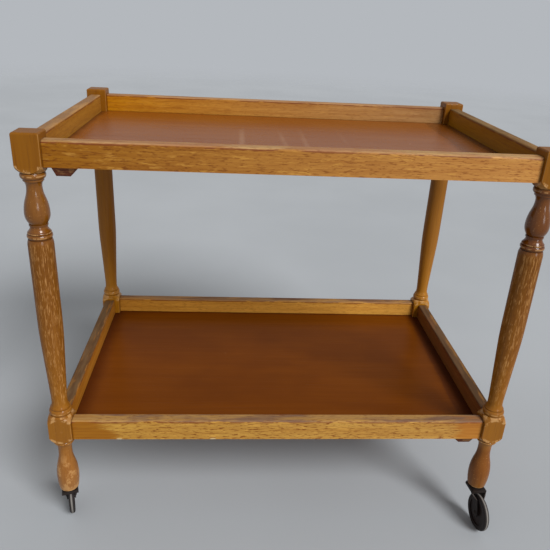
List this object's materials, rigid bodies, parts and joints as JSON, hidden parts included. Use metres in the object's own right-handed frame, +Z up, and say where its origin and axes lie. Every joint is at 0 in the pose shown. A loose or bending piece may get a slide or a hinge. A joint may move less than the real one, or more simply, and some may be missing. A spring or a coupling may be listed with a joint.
{
  "type": "tea trolley",
  "caption": "Wooden tea trolley with turned legs, an upper and a lower railed tray, and swivelling stem castors.",
  "frame": {"origin": "on the floor under the middle of the trolley", "axes": "+X to the right along the long side, +Y to the back, +Z up"},
  "size_m": [0.756, 0.555, 0.678],
  "materials": {
    "leg_oak": "varnished honey oak, worn",
    "rail_oak": "varnished quarter-sawn oak, worn",
    "upper_panel": "glossy reddish-brown veneer",
    "lower_panel": "satin dark red-brown veneer",
    "block_wood": "stained softwood",
    "fixing_steel": "dull steel",
    "socket_steel": "dull steel, browned",
    "castor_steel": "dull steel, browned",
    "castor_horn": "dark brown lacquer, worn",
    "wheel_plastic": "dark brown phenolic",
    "tyre_rubber": "worn grey tread"
  },
  "bodies": {
    "frame": {"front_left_leg": "leg_oak", "front_right_leg": "leg_oak", "rear_right_leg": "leg_oak", "rear_left_leg": "leg_oak", "upper_front_rail": "rail_oak", "upper_rear_rail": "rail_oak", "upper_left_rail": "rail_oak", "upper_right_rail": "rail_oak", "upper_tray_bottom": "upper_panel", "upper_glue_blocks": "block_wood", "upper_block_screws": "fixing_steel", "upper_tray_pins": "fixing_steel", "lower_front_rail": "rail_oak", "lower_rear_rail": "rail_oak", "lower_left_rail": "rail_oak", "lower_right_rail": "rail_oak", "lower_tray_bottom": "lower_panel", "lower_glue_blocks": "block_wood", "lower_block_screws": "fixing_steel", "lower_tray_pins": "fixing_steel", "front_left_castor_socket": "socket_steel", "front_right_castor_socket": "socket_steel", "rear_right_castor_socket": "socket_steel", "rear_left_castor_socket": "socket_steel"},
    "front_left_castor": {"front_left_castor_stem": "castor_steel", "front_left_castor_horn": "castor_horn", "front_left_castor_axle": "castor_steel"},
    "front_left_wheel": {"front_left_castor_wheel": "wheel_plastic", "front_left_castor_tyre": "tyre_rubber"},
    "front_right_castor": {"front_right_castor_stem": "castor_steel", "front_right_castor_horn": "castor_horn", "front_right_castor_axle": "castor_steel"},
    "front_right_wheel": {"front_right_castor_wheel": "wheel_plastic", "front_right_castor_tyre": "tyre_rubber"},
    "rear_right_castor": {"rear_right_castor_stem": "castor_steel", "rear_right_castor_horn": "castor_horn", "rear_right_castor_axle": "castor_steel"},
    "rear_right_wheel": {"rear_right_castor_wheel": "wheel_plastic", "rear_right_castor_tyre": "tyre_rubber"},
    "rear_left_castor": {"rear_left_castor_stem": "castor_steel", "rear_left_castor_horn": "castor_horn", "rear_left_castor_axle": "castor_steel"},
    "rear_left_wheel": {"rear_left_castor_wheel": "wheel_plastic", "rear_left_castor_tyre": "tyre_rubber"}
  },
  "joints": [
    {"name": "front_left_castor_swivel", "type": "hinge", "parent": "frame", "child": "front_left_castor", "pos_m": [-0.358, -0.219, 0.095], "axis": [0, 0, 1], "continuous": true},
    {"name": "front_left_wheel_roll", "type": "hinge", "parent": "front_left_castor", "child": "front_left_wheel", "pos_m": [-0.36517, -0.19401, 0.0325], "axis": [-0.9613, -0.2756, 0], "continuous": true},
    {"name": "front_right_castor_swivel", "type": "hinge", "parent": "frame", "child": "front_right_castor", "pos_m": [0.358, -0.219, 0.095], "axis": [0, 0, 1], "continuous": true},
    {"name": "front_right_wheel_roll", "type": "hinge", "parent": "front_right_castor", "child": "front_right_wheel", "pos_m": [0.36072, -0.24486, 0.0325], "axis": [0.9945, 0.1045, 0], "continuous": true},
    {"name": "rear_right_castor_swivel", "type": "hinge", "parent": "frame", "child": "rear_right_castor", "pos_m": [0.358, 0.219, 0.095], "axis": [0, 0, 1], "continuous": true},
    {"name": "rear_right_wheel_roll", "type": "hinge", "parent": "rear_right_castor", "child": "rear_right_wheel", "pos_m": [0.36517, 0.19401, 0.0325], "axis": [0.9613, 0.2756, 0], "continuous": true},
    {"name": "rear_left_castor_swivel", "type": "hinge", "parent": "frame", "child": "rear_left_castor", "pos_m": [-0.358, 0.219, 0.095], "axis": [0, 0, 1], "continuous": true},
    {"name": "rear_left_wheel_roll", "type": "hinge", "parent": "rear_left_castor", "child": "rear_left_wheel", "pos_m": [-0.36072, 0.24486, 0.0325], "axis": [-0.9945, -0.1045, 0], "continuous": true}
  ]
}
